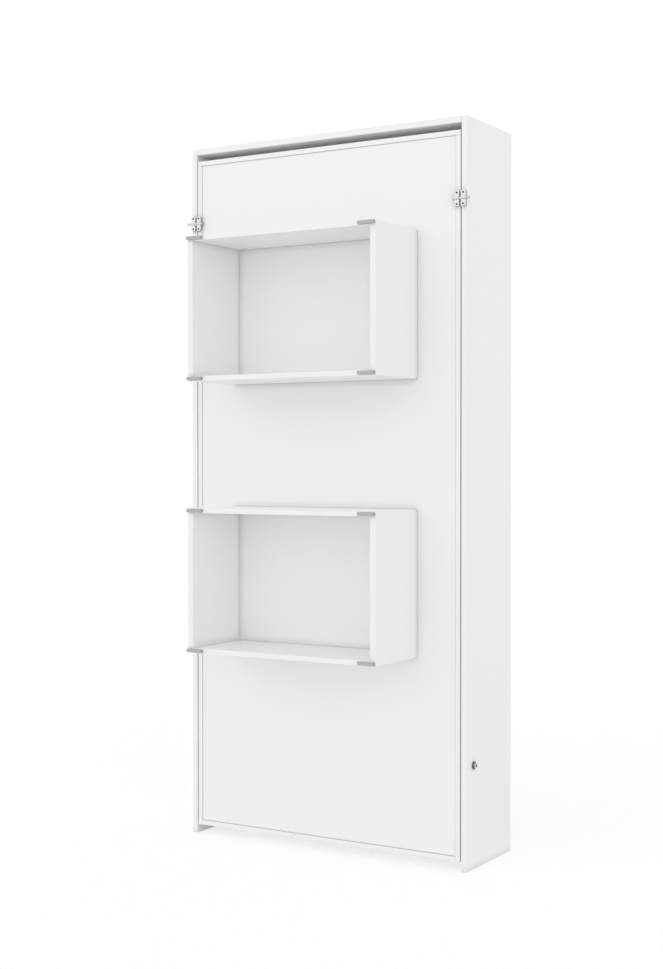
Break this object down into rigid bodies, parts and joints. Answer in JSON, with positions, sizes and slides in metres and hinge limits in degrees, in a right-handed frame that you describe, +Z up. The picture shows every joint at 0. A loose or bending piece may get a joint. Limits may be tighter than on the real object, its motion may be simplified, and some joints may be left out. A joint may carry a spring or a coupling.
{
  "type": "folding bed",
  "caption": "Tall vertical wall bed folded up in its cabinet; two open shelf boxes on its front turn into the legs when it is pulled down.",
  "frame": {"origin": "middle of the footprint on the floor, shelf feet and latch knobs included, with the bed folded up", "axes": "+Z up, +Y towards the wall, +X to the right as seen from the room"},
  "size_m": [1, 0.584, 2.19],
  "materials": {
    "white_board": "satin",
    "satin_metal": "satin",
    "foot_grey": "satin",
    "black_paint": "satin",
    "birch": "satin",
    "ticking": "matte",
    "webbing": "matte",
    "nylon": "satin"
  },
  "bodies": {
    "cabinet": {"side_panel_right": "white_board", "side_panel_left": "white_board", "top_panel": "white_board", "upper_wall_rail": "white_board", "lower_wall_rail": "white_board", "closing_stop_batten": "white_board", "pivot_bolt_right": "satin_metal", "pivot_bolt_left": "satin_metal", "strut_stud_plate_right": "satin_metal", "strut_stud_plate_left": "satin_metal", "latch_guide_right": "satin_metal", "latch_guide_left": "satin_metal"},
    "bed": {"bed_side_board_right": "white_board", "bed_side_board_left": "white_board", "head_board": "white_board", "foot_board": "white_board", "front_panel": "white_board", "mattress_stop_board": "white_board", "upper_shelf_top": "white_board", "upper_shelf_bottom": "white_board", "upper_shelf_left": "white_board", "upper_shelf_right": "white_board", "lower_shelf_top": "white_board", "lower_shelf_bottom": "white_board", "lower_shelf_left": "white_board", "lower_shelf_right": "white_board", "upper_foot_top_left": "foot_grey", "upper_foot_top_right": "foot_grey", "upper_foot_bottom_left": "foot_grey", "upper_foot_bottom_right": "foot_grey", "lower_foot_top_left": "foot_grey", "lower_foot_top_right": "foot_grey", "lower_foot_bottom_left": "foot_grey", "lower_foot_bottom_right": "foot_grey", "pivot_bush_right": "nylon", "pivot_bush_left": "nylon", "slat_rail_right": "birch", "slat_rail_left": "birch", "bed_slat_1": "birch", "bed_slat_2": "birch", "bed_slat_3": "birch", "bed_slat_4": "birch", "bed_slat_5": "birch", "bed_slat_6": "birch", "bed_slat_7": "birch", "bed_slat_8": "birch", "bed_slat_9": "birch", "mattress": "ticking", "upper_mattress_strap": "webbing", "lower_mattress_strap": "webbing", "latch_keeper_right": "satin_metal", "latch_keeper_left": "satin_metal", "strut_bracket_right": "satin_metal", "strut_bracket_left": "satin_metal"},
    "latch_bolt_right": {"latch_bolt_right": "satin_metal"},
    "latch_bolt_left": {"latch_bolt_left": "satin_metal"},
    "strut_rod_right": {"strut_rod_right": "satin_metal"},
    "strut_rod_left": {"strut_rod_left": "satin_metal"},
    "strut_cylinder_right": {"strut_cylinder_right": "black_paint"},
    "strut_cylinder_left": {"strut_cylinder_left": "black_paint"}
  },
  "joints": [
    {"name": "bed_fold", "type": "hinge", "parent": "cabinet", "child": "bed", "pos_m": [0, 0.013, 0.305], "axis": [1, 0, 0], "range_deg": [0, 90]},
    {"name": "latch_slide_right", "type": "slide", "parent": "cabinet", "child": "latch_bolt_right", "axis": [-1, 0, 0], "range_m": [0, 0.009]},
    {"name": "latch_slide_left", "type": "slide", "parent": "cabinet", "child": "latch_bolt_left", "axis": [1, 0, 0], "range_m": [0, 0.009]},
    {"name": "strut_swing_right", "type": "hinge", "parent": "bed", "child": "strut_rod_right", "pos_m": [0.459, 0.148, 0.237], "axis": [-1, 0, 0], "range_deg": [0, 99.45]},
    {"name": "strut_swing_left", "type": "hinge", "parent": "bed", "child": "strut_rod_left", "pos_m": [-0.459, 0.148, 0.237], "axis": [-1, 0, 0], "range_deg": [0, 99.45]},
    {"name": "strut_stroke_right", "type": "slide", "parent": "strut_rod_right", "child": "strut_cylinder_right", "axis": [0, -0.0384, -0.9993], "range_m": [0, 0.1942]},
    {"name": "strut_stroke_left", "type": "slide", "parent": "strut_rod_left", "child": "strut_cylinder_left", "axis": [0, -0.0384, -0.9993], "range_m": [0, 0.1942]}
  ],
  "couplings": [
    {"joint": "strut_swing_right", "follows": "bed_fold", "ratio": 1.1047},
    {"joint": "strut_swing_left", "follows": "bed_fold", "ratio": 1.1047},
    {"joint": "strut_stroke_right", "follows": "bed_fold", "m_per_rad": 0.12358},
    {"joint": "strut_stroke_left", "follows": "bed_fold", "m_per_rad": 0.12358}
  ]
}
